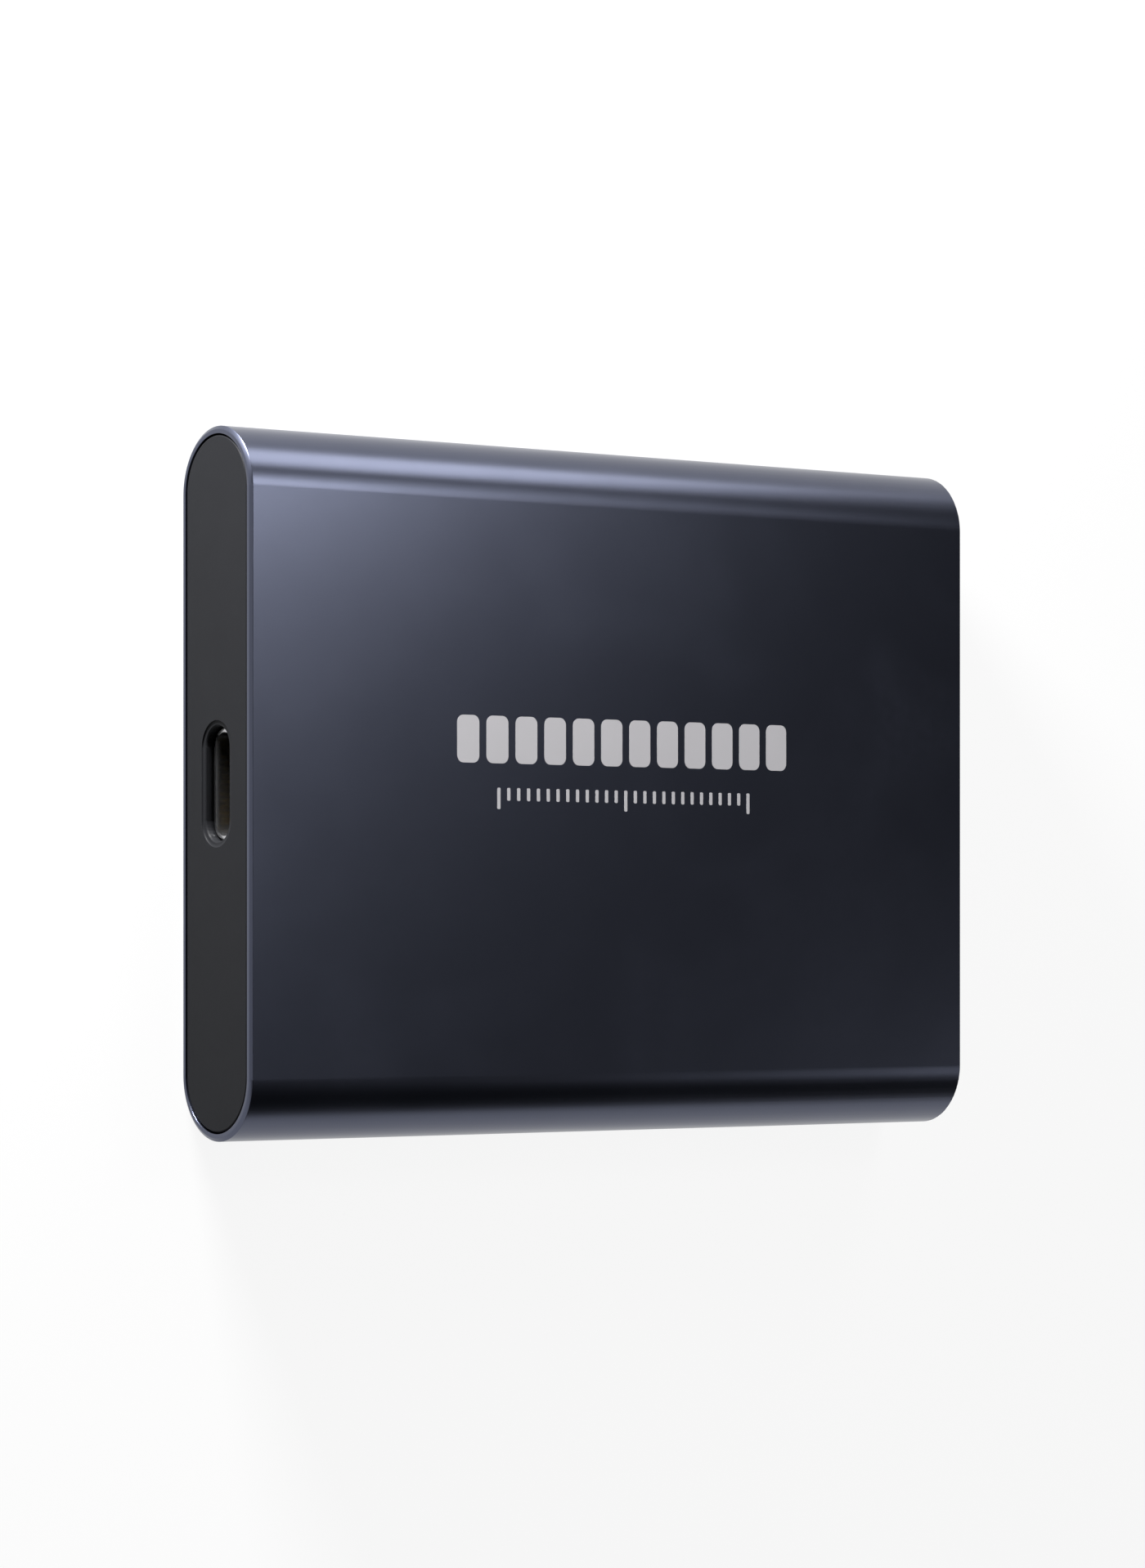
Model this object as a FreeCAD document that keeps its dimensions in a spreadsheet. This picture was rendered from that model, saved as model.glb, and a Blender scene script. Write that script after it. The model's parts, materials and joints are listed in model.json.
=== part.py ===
"""A pocket solid state drive: a stadium-section aluminium sleeve, closed by a flush plastic cap at each end.

Millimetres. +X runs from the port end to the far end, +Y across the wide face and +Z out of it. The drive
lies on its back face, which is Z = 0, and every sub-part is drawn about the drive's mid-plane and lifted by
half its thickness.

How it goes together: the port cap's lugs and the main board are screwed to the tray's posts, the storage
card is plugged into its socket and screwed to two standoffs, a thermal pad and the pressed cover go on top,
and the whole slides into the sleeve until the port cap meets the sleeve's shoulder. Two countersunk screws
through the rear plate pull the tray back, so that the caps clamp the sleeve between them, and a trim plate
on adhesive tape hides the screws.
"""

import FreeCAD, Part
import math
import os
import re

import Sketcher
from FreeCAD import Rotation, Vector

SHEET = "Sizes"
TINY = 1e-4

SIZES = (
    # alias, value, what it is
    ("length", 74.0, "overall length, port end to far end"),
    ("width", 57.3, "overall width of the wide face"),
    ("thick", 10.5, "overall thickness, and the diameter of the rounded sides"),
    ("wall", 1.2, "sleeve wall"),
    ("lip", 0.62, "sleeve wall where it surrounds an end cap"),
    ("seat", 1.6, "depth of the seat that each end cap drops into"),
    ("rim_axial", 0.2, "bevel of the sleeve's ends, along its length"),
    ("rim_radial", 0.3, "bevel of the sleeve's ends, across its wall"),
    ("cap_gap", 0.13, "groove between an end cap and the sleeve"),
    ("cap_sink", 0.05, "how far an end cap's face lies behind the sleeve's end"),
    ("cap_edge", 0.1, "bevel around an end cap's face"),
    ("slide_gap", 0.15, "clearance of what slides into the sleeve"),
    ("skirt_wall", 0.8, "wall of the skirt behind each end cap"),
    ("skirt_length", 2.2, "length of that skirt"),
    ("tray_wall", 0.9, "floor and side wall of the tray"),
    ("tray_top", 2.2, "top of the tray's side walls, above the mid-plane"),
    ("tray_gap", 0.15, "clearance between the tray's ends and the skirts"),
    ("end_wall", 1.2, "tray wall at the far end"),
    ("block_length", 4.0, "length of the tray blocks that take the rear screws"),
    ("block_width", 4.4, "width of those blocks"),
    ("block_top", 2.0, "top of those blocks, above the mid-plane"),
    ("post_radius", 2.2, "radius of the tray posts under the main board"),
    ("post_inset", 2.9, "post axis to the flat edge of the tray, across the width"),
    ("post_end", 2.5, "post axis to the end of the tray or the board"),
    ("lug_thick", 0.6, "thickness of the port cap's lugs"),
    ("lug_width", 5.0, "width of the port cap's lugs"),
    ("cover_sheet", 0.5, "sheet thickness of the pressed cover"),
    ("ring_width", 10.15, "width of the shallow recess around the port"),
    ("ring_height", 4.4, "height of that recess"),
    ("ring_depth", 0.1, "depth of that recess"),
    ("port_gap", 0.2, "clearance of the receptacle in the cap's port hole"),
    ("port_edge", 0.12, "bevel around the port hole"),
    ("port_recess", 0.75, "receptacle mouth behind the port cap's face"),
    ("mouth_width", 8.34, "inside width of the receptacle"),
    ("mouth_height", 2.56, "inside height of the receptacle"),
    ("shell_sheet", 0.25, "sheet thickness of the receptacle shell"),
    ("shell_length", 7.3, "length of the receptacle shell"),
    ("leg_sheet", 0.3, "thickness of the shell's solder legs"),
    ("leg_width", 1.2, "width of a solder leg, along the drive"),
    ("leg_reach", 5.7, "outer face of a solder leg from the port's centre"),
    ("leg_front", 2.6, "first solder leg's centre behind the mouth"),
    ("leg_pitch", 3.3, "distance between the solder legs, along the drive"),
    ("leg_through", 0.3, "how far a leg stands out under the board"),
    ("tongue_width", 6.69, "width of the receptacle's tongue"),
    ("tongue_thick", 0.7, "thickness of the tongue"),
    ("tongue_back", 0.65, "tongue tip behind the mouth"),
    ("insulator_base", 2.2, "length of the insulator's base"),
    ("insulator_gap", 0.02, "clearance of the insulator's base in the shell"),
    ("root_width", 7.6, "width of the tongue's thicker root"),
    ("root_thick", 1.24, "thickness of that root"),
    ("root_length", 0.9, "length of that root"),
    ("plate_width", 5.8, "width of the steel plate inside the tongue"),
    ("plate_thick", 0.15, "thickness of that plate"),
    ("pin_pitch", 0.5, "pitch of the receptacle's contacts"),
    ("pin_width", 0.25, "width of a contact"),
    ("pin_thick", 0.12, "thickness of a contact"),
    ("pin_proud", 0.02, "how far a contact stands out of the tongue"),
    ("pin_back", 0.35, "contact tips behind the tongue's tip"),
    ("pin_foot", 0.6, "length of a contact's foot on the board"),
    ("near_row", 0.35, "lower contacts' feet behind the receptacle"),
    ("far_row", 1.5, "upper contacts' feet behind the receptacle"),
    ("plate_back", 0.5, "steel plate's front behind the tongue's tip"),
    ("plate_tail", 0.2, "how far the steel plate stands out behind the shell"),
    ("board_thick", 1.0, "main board thickness"),
    ("board_drop", 0.8, "main board's top below the mid-plane"),
    ("board_front_gap", 0.4, "main board to the port cap's plate"),
    ("board_rear_gap", 0.3, "main board to the tray's screw blocks"),
    ("board_side_gap", 1.8, "main board to the tray's widest inside"),
    ("board_corner", 1.0, "corner radius of the boards"),
    ("notch_gap", 0.2, "clearance of the receptacle in the board's notch"),
    ("slot_gap", 0.15, "clearance of a solder leg in its slot"),
    ("socket_setback", 3.3, "receptacle's back to the card socket"),
    ("socket_depth", 6.6, "card socket, along the drive"),
    ("socket_width", 29.9, "card socket, across the drive"),
    ("socket_height", 3.6, "card socket above the main board"),
    ("slot_depth", 4.0, "how far the card's edge goes into the socket"),
    ("slot_play", 0.25, "room above and below the card's edge"),
    ("socket_pitch", 0.8, "pitch of the card's contacts"),
    ("card_key_pitch", 4.0, "distance between the contacts on either side of the key"),
    ("key_width", 1.5, "width of the card's key notch"),
    ("beam_width", 0.35, "width of a card socket contact"),
    ("beam_thick", 0.15, "thickness of a card socket contact"),
    ("beam_play", 0.05, "card socket contact to the card's face"),
    ("beam_inset", 0.4, "card socket contacts to the housing's front and back"),
    ("beam_foot", 0.7, "how far their feet stand out of the housing"),
    ("key_play", 0.1, "room beside the card's key and its contact edge"),
    ("edge_play", 0.1, "room at the end of the socket's slot"),
    ("finger_thick", 0.03, "plating of the card's edge contacts"),
    ("finger_width", 0.5, "width of an edge contact"),
    ("finger_length", 2.4, "length of an edge contact"),
    ("finger_back", 0.3, "edge contacts behind the card's front edge"),
    ("card_length", 50.8, "storage card length"),
    ("card_width", 29.85, "storage card width"),
    ("card_thick", 1.0, "storage card thickness"),
    ("card_edge_width", 25.7, "width of the card's contact edge"),
    ("card_lift", 1.5, "height of the card above the main board"),
    ("card_hole_inset", 2.1, "card's screw holes to its far edge"),
    ("card_hole_spread", 24.2, "distance between the card's screw holes"),
    ("card_hole_radius", 1.3, "radius of the card's screw holes"),
    ("standoff_radius", 2.1, "radius of the card's standoffs"),
    ("memory_length", 14.0, "flash memory package, along the drive"),
    ("memory_width", 18.0, "flash memory package, across the drive"),
    ("memory_gap", 1.0, "gap between the flash memory packages"),
    ("package_height", 1.2, "height of the memory and controller packages"),
    ("package_edge", 0.08, "bevel round the top of a package"),
    ("mark_inset", 0.9, "first-pin dimple to the package's sides"),
    ("mark_radius", 0.35, "radius of that dimple"),
    ("mark_depth", 0.08, "depth of that dimple"),
    ("controller_side", 11.0, "side of the storage controller"),
    ("cache_length", 10.5, "cache memory package, along the drive"),
    ("cache_width", 8.0, "cache memory package, across the drive"),
    ("cache_height", 1.0, "cache memory package height"),
    ("chip_gap", 1.6, "gap between packages of different kinds"),
    ("bridge_side", 7.0, "side of the bridge chip"),
    ("bridge_height", 0.9, "height of the bridge chip"),
    ("bridge_offset", 12.2, "bridge chip's centre from the port's centre"),
    ("coil_side", 4.0, "side of the power inductor"),
    ("coil_height", 1.8, "height of the power inductor"),
    ("coil_offset", 9.9, "inductor's centre from the port's centre"),
    ("small_chip", 3.0, "side of the regulator and the firmware memory"),
    ("small_chip_height", 0.7, "height of those two"),
    ("crystal_length", 3.2, "length of the crystal"),
    ("crystal_width", 2.5, "width of the crystal"),
    ("crystal_height", 0.7, "height of the crystal"),
    ("crystal_step", 0.2, "crystal's can to the edge of its base"),
    ("front_row", 3.8, "centre line of the parts beside the port, behind the board's front edge"),
    ("small_screw", 0.8, "thread radius of the board and rear screws"),
    ("small_head", 1.5, "head radius of the board and rear screws"),
    ("board_screw_length", 2.8, "length of the board screws under the head"),
    ("rear_screw_length", 6.2, "length of the rear screws, head included"),
    ("rear_head_height", 0.85, "height of the rear screws' countersunk head"),
    ("rear_screw_inset", 3.4, "rear screw axis to the flat edge of the section"),
    ("card_screw", 1.0, "thread radius of the card screws"),
    ("card_head", 1.9, "head radius of the card screws"),
    ("card_screw_length", 2.3, "length of the card screws under the head"),
    ("head_height", 0.7, "height of the flat screw heads"),
    ("cross_reach", 0.85, "reach of a screw's cross recess from its axis"),
    ("cross_half", 0.18, "half the width of the cross recess"),
    ("cross_depth", 0.35, "depth of the cross recess"),
    ("screw_gap", 0.15, "clearance of a screw in a plain hole"),
    ("thread_gap", 0.02, "gap between a screw and the thread that it has formed"),
    ("tip_gap", 0.1, "room under a screw's tip"),
    ("trim_thick", 0.45, "thickness of the rear trim plate"),
    ("tape_thick", 0.1, "thickness of the adhesive tape"),
    ("tape_inset", 0.6, "tape's edge to the trim plate's edge"),
)

# Sizes and places that follow from the ones above. X is measured from the middle of the drive, and
# heights from its mid-plane.
DERIVED = {
    "middle": "thick / 2",
    "flat_half": "(width - thick) / 2",
    "seat_width": "width - 2 * lip",
    "seat_thick": "thick - 2 * lip",
    "bore_width": "width - 2 * wall",
    "bore_thick": "thick - 2 * wall",
    "cap_width": "seat_width - 2 * cap_gap",
    "cap_thick": "seat_thick - 2 * cap_gap",
    "slide_width": "bore_width - 2 * slide_gap",
    "slide_thick": "bore_thick - 2 * slide_gap",
    "cap_face": "-length / 2 + cap_sink",
    "cap_back": "-length / 2 + seat",
    "tray_front": "cap_back + skirt_length + tray_gap",
    "tray_rear": "-tray_front",
    "tray_length": "tray_rear - tray_front",
    "tray_floor": "-(slide_thick / 2 - tray_wall)",
    "mouth": "cap_face + port_recess",
    "shell_back": "mouth + shell_length",
    "shell_width": "mouth_width + 2 * shell_sheet",
    "shell_height": "mouth_height + 2 * shell_sheet",
    "base_front": "shell_back - insulator_base",
    "tongue_tip": "mouth + tongue_back",
    "board_top": "-board_drop",
    "board_bottom": "board_top - board_thick",
    "board_front": "cap_back + board_front_gap",
    "board_rear": "tray_rear - block_length - board_rear_gap",
    "board_half": "slide_width / 2 - tray_wall - board_side_gap",
    "post_front": "tray_front + post_end",
    "post_rear": "board_rear - post_end",
    "post_spread": "flat_half - post_inset",
    "socket_front": "shell_back + socket_setback",
    "socket_back": "socket_front + socket_depth",
    "card_front": "socket_back - slot_depth + edge_play",
    "card_rear": "card_front + card_length",
    "card_bottom": "board_top + card_lift",
    "card_top": "card_bottom + card_thick",
    "card_hole_x": "card_rear - card_hole_inset",
    "package_top": "card_top + package_height",
    "cover_inside": "slide_thick / 2 - cover_sheet",
    "controller_x": "socket_back + chip_gap / 2 + controller_side / 2",
    "first_memory_x": "socket_back + chip_gap + controller_side + memory_length / 2",
    "second_memory_x": "first_memory_x + memory_length + memory_gap",
    "controller_y": "-(controller_side + chip_gap) / 2",
    "cache_y": "(cache_width + chip_gap) / 2",
    "parts_x": "board_front + front_row",
    "coil_top_y": "-coil_offset",
    "regulator_y": "-(coil_offset + coil_side / 2 + small_chip / 2 + 0.8)",
    "side_y": "(socket_width / 2 + board_half) / 2",
    "rear_screw_y": "flat_half - rear_screw_inset",
    "plate_face": "length / 2 - cap_sink - trim_thick - tape_thick",
    "key_y": "-(18 - 8) / 2 * socket_pitch",
}

doc = FreeCAD.newDocument("solid_state_drive")
sheet = doc.addObject("Spreadsheet::Sheet", SHEET)

ALIASES = {alias for alias, _, _ in SIZES}
SUBPARTS = {}


def fill_sheet():
    """Writes one row for each driving size: its name, its value with that alias, and what it is."""
    for row, (alias, value, meaning) in enumerate(SIZES, start=1):
        sheet.set(f"A{row}", alias)
        sheet.set(f"B{row}", str(value))
        sheet.setAlias(f"B{row}", alias)
        sheet.set(f"C{row}", meaning)
    doc.recompute()


def formula(text):
    """The sheet's own expression for a formula that is written with plain names."""

    def expand(match):
        word = match.group(0)
        if word in DERIVED:
            return f"({formula(DERIVED[word])})"
        return f"{SHEET}.{word}" if word in ALIASES else word

    return re.sub(r"[a-z_]+", expand, text)


def number(text):
    """The value of a formula, in millimetres."""
    return float(sheet.evalExpression(formula(text)))


def bind(thing, **formulas):
    """Ties properties to the sheet. A double underscore stands for a dot, as in Placement__Base__x."""
    for name, text in formulas.items():
        thing.setExpression(name.replace("__", "."), formula(text))
    return thing


def place(thing, x="0", y="0", z="middle"):
    """Ties the place of a sub-part to the sheet."""
    return bind(thing, Placement__Base__x=x, Placement__Base__y=y, Placement__Base__z=z)


def finish(thing, name):
    """Names the object as a sub-part, whose shape goes to a file of that name."""
    thing.Label = name
    SUBPARTS[name] = thing
    return thing


# --- sketches and features ------------------------------------------------------------------------


def new_body(name):
    return doc.addObject("PartDesign::Body", name)


def new_sketch(body, name, plane, level="0"):
    """A sketch on one of the body's origin planes, moved along that plane's normal to a level."""
    sketch = body.newObject("Sketcher::SketchObject", f"{body.Name}_{name}")
    support = [f for f in body.Origin.OriginFeatures if f.Role == plane][0]
    sketch.AttachmentSupport = [(support, "")]
    sketch.MapMode = "FlatFace"
    return bind(sketch, AttachmentOffset__Base__z=level)


def dimension(sketch, kind, where, text, name):
    """A named dimension of a sketch, tied to the sheet."""
    index = sketch.addConstraint(Sketcher.Constraint(kind, *where, number(text)))
    sketch.renameConstraint(index, name)
    sketch.setExpression(f"Constraints.{name}", formula(text))


def draw_stadium(sketch, width, height, tag="outline"):
    """A stadium about the sketch's origin: two straight edges and two half circles."""
    radius = number(f"({height}) / 2")
    reach = number(f"(({width}) - ({height})) / 2")
    quarter = math.pi / 2
    top = sketch.GeometryCount
    right, bottom, left = top + 1, top + 2, top + 3
    up = Vector(0, 0, 1)
    sketch.addGeometry(Part.LineSegment(Vector(-reach, radius, 0), Vector(reach, radius, 0)))
    circle = Part.Circle(Vector(reach, 0, 0), up, radius)
    sketch.addGeometry(Part.ArcOfCircle(circle, -quarter, quarter))
    sketch.addGeometry(Part.LineSegment(Vector(reach, -radius, 0), Vector(-reach, -radius, 0)))
    circle = Part.Circle(Vector(-reach, 0, 0), up, radius)
    sketch.addGeometry(Part.ArcOfCircle(circle, quarter, 3 * quarter))
    for where in ((top, 2, right, 2), (bottom, 1, right, 1), (bottom, 2, left, 2), (top, 1, left, 1)):
        sketch.addConstraint(Sketcher.Constraint("Tangent", *where))
    sketch.addConstraint(Sketcher.Constraint("PointOnObject", right, 3, -1))
    sketch.addConstraint(Sketcher.Constraint("Symmetric", left, 3, right, 3, -1, 1))
    sketch.addConstraint(Sketcher.Constraint("Equal", right, left))
    dimension(sketch, "DistanceX", (left, 3, right, 3), f"({width}) - ({height})", f"{tag}_straight")
    dimension(sketch, "Radius", (right,), f"({height}) / 2", f"{tag}_radius")
    return sketch


def draw_polygon(sketch, *corners, tag="corner"):
    """A closed outline with straight edges, each corner tied to the sheet."""
    points = [Vector(number(x), number(y), 0) for x, y in corners]
    first = sketch.GeometryCount
    count = len(points)
    for i, point in enumerate(points):
        sketch.addGeometry(Part.LineSegment(point, points[(i + 1) % count]))
    for i, (x, y) in enumerate(corners):
        after = first + (i - 1) % count
        sketch.addConstraint(Sketcher.Constraint("Coincident", after, 2, first + i, 1))
        dimension(sketch, "DistanceX", (-1, 1, first + i, 1), x, f"{tag}{first + i}_x")
        dimension(sketch, "DistanceY", (-1, 1, first + i, 1), y, f"{tag}{first + i}_y")
    return sketch


def draw_box(sketch, left, right, low, high):
    """A rectangle between two places across and two places up."""
    return draw_polygon(sketch, (left, low), (right, low), (right, high), (left, high))


def draw_centred_box(sketch, width, height):
    half_width, half_height = f"({width}) / 2", f"({height}) / 2"
    return draw_box(sketch, f"-({half_width})", half_width, f"-({half_height})", half_height)


def draw_circle(sketch, x, y, radius):
    index = sketch.GeometryCount
    centre = Vector(number(x), number(y), 0)
    sketch.addGeometry(Part.Circle(centre, Vector(0, 0, 1), number(radius)))
    dimension(sketch, "DistanceX", (-1, 1, index, 3), x, f"hole{index}_x")
    dimension(sketch, "DistanceY", (-1, 1, index, 3), y, f"hole{index}_y")
    dimension(sketch, "Radius", (index,), radius, f"hole{index}_radius")
    return sketch


def add_feature(body, kind, sketch, length, backwards, grows):
    before = body.Shape.Volume if body.Tip else 0.0
    feature = body.newObject(kind, f"{sketch.Name}_{'pad' if grows else 'pocket'}")
    feature.Profile = sketch
    feature.Reversed = backwards
    bind(feature, Length=length)
    doc.recompute()
    change = feature.Shape.Volume - before
    if not (change > TINY if grows else change < -TINY):
        raise ValueError(f"{feature.Name} changes the volume by {change:.4f} cubic millimetres")
    return feature


def pad(body, sketch, length, backwards=False):
    """Material from the sketch along its plane's normal, or against it if it runs backwards."""
    return add_feature(body, "PartDesign::Pad", sketch, length, backwards, grows=True)


def pocket(body, sketch, length, backwards=False):
    """A cut from the sketch against its plane's normal, or along it if it runs backwards."""
    return add_feature(body, "PartDesign::Pocket", sketch, length, backwards, grows=False)


def edges_on_plane(shape, axis, level, keep=None):
    """Names of the edges that lie on a plane across an axis, and that the test keeps."""
    names = []
    for i, edge in enumerate(shape.Edges, start=1):
        box = edge.BoundBox
        low, high = getattr(box, f"{axis}Min"), getattr(box, f"{axis}Max")
        if abs(low - level) < TINY and abs(high - level) < TINY and (keep is None or keep(box)):
            names.append(f"Edge{i}")
    return names


def bevel(body, edges, across, along=None):
    """A chamfer of the tip's named edges, with one size or two."""
    base = body.Tip
    feature = body.newObject("PartDesign::Chamfer", f"{base.Name}_bevel")
    feature.Base = (base, edges)
    bind(feature, Size=across)
    if along:
        feature.ChamferType = "Two distances"
        bind(feature, Size2=along)
    doc.recompute()
    return feature


def round_edges(body, edges, radius):
    base = body.Tip
    feature = body.newObject("PartDesign::Fillet", f"{base.Name}_round")
    feature.Base = (base, edges)
    bind(feature, Radius=radius)
    doc.recompute()
    return feature


def outline_edges(body, level, width, height):
    """The edges on a plane across X that belong to a stadium of this size about the body's X axis."""
    half_width, half_height = number(f"({width}) / 2"), number(f"({height}) / 2")

    def on_outline(box):
        across = max(abs(box.YMin), abs(box.YMax))
        up = max(abs(box.ZMin), abs(box.ZMax))
        return abs(across - half_width) < TINY or abs(up - half_height) < TINY

    return edges_on_plane(body.Tip.Shape, "X", number(level), on_outline)


def copies(name, original, places):
    """One sub-part made of copies of an object, each at its own place."""
    links = []
    for i, (x, y, z) in enumerate(places):
        link = doc.addObject("App::Link", f"{name}_{i + 1}")
        link.LinkedObject = original
        links.append(place(link, x, y, z))
    group = doc.addObject("Part::Compound", name)
    group.Links = links
    return finish(group, name)


def block(x0, x1, y0, y1, z0, z1):
    """A plain box between two corners, in millimetres."""
    return Part.makeBox(x1 - x0, y1 - y0, z1 - z0, Vector(x0, y0, z0))


def joined(pieces):
    """Touching pieces made one solid."""
    return pieces[0].multiFuse(pieces[1:]).removeSplitter()


def shape_subpart(name, solids):
    """A sub-part whose solids were made directly, lifted from the mid-plane to its place."""
    thing = doc.addObject("Part::Feature", name)
    thing.Shape = Part.makeCompound(solids)
    return finish(place(thing), name)


# --- enclosure ------------------------------------------------------------------------------------


def make_sleeve():
    """The extruded shell, with a seat milled into each end and its outer rims bevelled."""
    body = new_body("sleeve")
    profile = new_sketch(body, "profile", "YZ_Plane", "-length / 2")
    draw_stadium(profile, "width", "thick", "outside")
    draw_stadium(profile, "bore_width", "bore_thick", "bore")
    pad(body, profile, "length")
    for end, level, backwards in (("port", "-length / 2", True), ("rear", "length / 2", False)):
        seat = new_sketch(body, f"{end}_seat", "YZ_Plane", level)
        draw_stadium(seat, "seat_width", "seat_thick")
        pocket(body, seat, "seat", backwards)
    rims = outline_edges(body, "-length / 2", "width", "thick")
    rims += outline_edges(body, "length / 2", "width", "thick")
    bevel(body, rims, "rim_axial", "rim_radial")
    return finish(place(body), "sleeve")


def add_skirt(body, level, backwards):
    """The ring behind an end cap that slides into the sleeve."""
    skirt = new_sketch(body, "skirt", "YZ_Plane", level)
    draw_stadium(skirt, "slide_width", "slide_thick", "outside")
    inside = ("slide_width - 2 * skirt_wall", "slide_thick - 2 * skirt_wall")
    draw_stadium(skirt, *inside, "inside")
    return pad(body, skirt, "skirt_length", backwards)


def make_port_cap():
    """The flush cap at the port end, with a skirt and two lugs that are screwed under the main board."""
    body = new_body("port_cap")
    face = new_sketch(body, "face", "YZ_Plane", "cap_face")
    draw_stadium(face, "cap_width", "cap_thick")
    pad(body, face, "seat - cap_sink")
    bevel(body, outline_edges(body, "cap_face", "cap_width", "cap_thick"), "cap_edge")
    add_skirt(body, "cap_back", False)
    lugs = new_sketch(body, "lugs", "YZ_Plane", "cap_back")
    for side in ("-", ""):
        centre = f"{side}post_spread"
        low, high = "board_bottom - lug_thick", "board_bottom"
        draw_box(lugs, f"{centre} - lug_width / 2", f"{centre} + lug_width / 2", low, high)
    pad(body, lugs, "post_front + post_radius - cap_back")
    holes = new_sketch(body, "lug_holes", "XY_Plane", "board_bottom")
    for side in ("-", ""):
        draw_circle(holes, "post_front", f"{side}post_spread", "small_screw + screw_gap")
    pocket(body, holes, "lug_thick")
    recess = new_sketch(body, "port_recess", "YZ_Plane", "cap_face")
    draw_stadium(recess, "ring_width", "ring_height")
    pocket(body, recess, "ring_depth", True)
    hole_width, hole_height = "shell_width + 2 * port_gap", "shell_height + 2 * port_gap"
    hole = new_sketch(body, "port_hole", "YZ_Plane", "cap_face")
    draw_stadium(hole, hole_width, hole_height)
    pocket(body, hole, "seat", True)
    rim = outline_edges(body, "cap_face + ring_depth", hole_width, hole_height)
    bevel(body, rim, "port_edge")
    return finish(place(body), "port_cap")


def make_rear_plate():
    """The plate that closes the far end, with two countersunk screw holes and a skirt."""
    body = new_body("rear_plate")
    face = new_sketch(body, "face", "YZ_Plane", "plate_face")
    draw_stadium(face, "cap_width", "cap_thick")
    thickness = "plate_face - (length / 2 - seat)"
    pad(body, face, thickness, True)
    add_skirt(body, "length / 2 - seat", True)
    holes = new_sketch(body, "screw_holes", "YZ_Plane", "plate_face")
    for side in ("-", ""):
        draw_circle(holes, f"{side}rear_screw_y", "0", "small_screw + screw_gap")
    pocket(body, holes, thickness)
    hole_size = number("2 * (small_screw + screw_gap)") + TINY
    mouths = edges_on_plane(body.Tip.Shape, "X", number("plate_face"), lambda box: box.YLength < hole_size)
    flare = "(small_head - small_screw - screw_gap)"
    slope = "rear_head_height / (small_head - small_screw)"
    bevel(body, mouths, flare, f"{flare} * {slope}")
    return finish(place(body), "rear_plate")


def make_trim():
    """The plain plate that covers the rear screws, and the tape that holds it."""
    tape = new_body("trim_tape")
    outline = new_sketch(tape, "outline", "YZ_Plane", "plate_face")
    inset = ("cap_width - 2 * tape_inset", "cap_thick - 2 * tape_inset")
    draw_stadium(outline, *inset)
    pad(tape, outline, "tape_thick")
    finish(place(tape), "trim_tape")
    trim = new_body("rear_trim")
    outline = new_sketch(trim, "outline", "YZ_Plane", "plate_face + tape_thick")
    draw_stadium(outline, "cap_width", "cap_thick")
    pad(trim, outline, "trim_thick")
    outer = "plate_face + tape_thick + trim_thick"
    bevel(trim, outline_edges(trim, outer, "cap_width", "cap_thick"), "cap_edge")
    finish(place(trim), "rear_trim")


# --- inner frame ----------------------------------------------------------------------------------


def add_lining(body, length, sheet_wall):
    """A tube of this wall that follows the sleeve's bore, from the tray's front end."""
    ring = new_sketch(body, "ring", "YZ_Plane", "tray_front")
    draw_stadium(ring, "slide_width", "slide_thick", "outside")
    inside = (f"slide_width - 2 * ({sheet_wall})", f"slide_thick - 2 * ({sheet_wall})")
    draw_stadium(ring, *inside, "inside")
    return pad(body, ring, length)


def trim_lining(body, low, high):
    """Cuts away everything of a lining between two heights."""
    cut = new_sketch(body, "cut", "YZ_Plane", "tray_rear")
    draw_box(cut, "-width / 2", "width / 2", low, high)
    return pocket(body, cut, "tray_length")


def make_tray():
    """The trough that carries the boards, with four screw posts and two blocks for the rear screws."""
    body = new_body("tray")
    add_lining(body, "tray_length", "tray_wall")
    wall = new_sketch(body, "end_wall", "YZ_Plane", "tray_rear")
    draw_stadium(wall, "slide_width", "slide_thick")
    pad(body, wall, "end_wall", True)
    trim_lining(body, "tray_top", "thick / 2")
    fronts = new_sketch(body, "front_posts", "XY_Plane", "tray_floor")
    rears = new_sketch(body, "rear_posts", "XY_Plane", "tray_floor")
    for side in ("-", ""):
        draw_circle(fronts, "post_front", f"{side}post_spread", "post_radius")
        draw_circle(rears, "post_rear", f"{side}post_spread", "post_radius")
    pad(body, fronts, "board_bottom - lug_thick - tray_floor")
    pad(body, rears, "board_bottom - tray_floor")
    blocks = new_sketch(body, "screw_blocks", "YZ_Plane", "tray_rear")
    for side in ("-", ""):
        left, right = f"{side}rear_screw_y - block_width / 2", f"{side}rear_screw_y + block_width / 2"
        draw_box(blocks, left, right, "tray_floor - tray_wall / 2", "block_top")
    pad(body, blocks, "block_length", True)
    down = new_sketch(body, "post_holes", "XY_Plane", "board_bottom")
    for x in ("post_front", "post_rear"):
        for side in ("-", ""):
            draw_circle(down, x, f"{side}post_spread", "small_screw + thread_gap")
    pocket(body, down, "board_screw_length - board_thick + tip_gap")
    along = new_sketch(body, "block_holes", "YZ_Plane", "tray_rear")
    for side in ("-", ""):
        draw_circle(along, f"{side}rear_screw_y", "0", "small_screw + thread_gap")
    pocket(body, along, "tray_rear - plate_face + rear_screw_length + tip_gap")
    return finish(place(body), "tray")


def make_cover():
    """The pressed aluminium cover that stands on the tray's side walls and spreads the heat."""
    body = new_body("cover")
    add_lining(body, "tray_length", "cover_sheet")
    trim_lining(body, "-thick / 2", "tray_top")
    return finish(place(body), "cover")


# --- port -----------------------------------------------------------------------------------------


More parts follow.
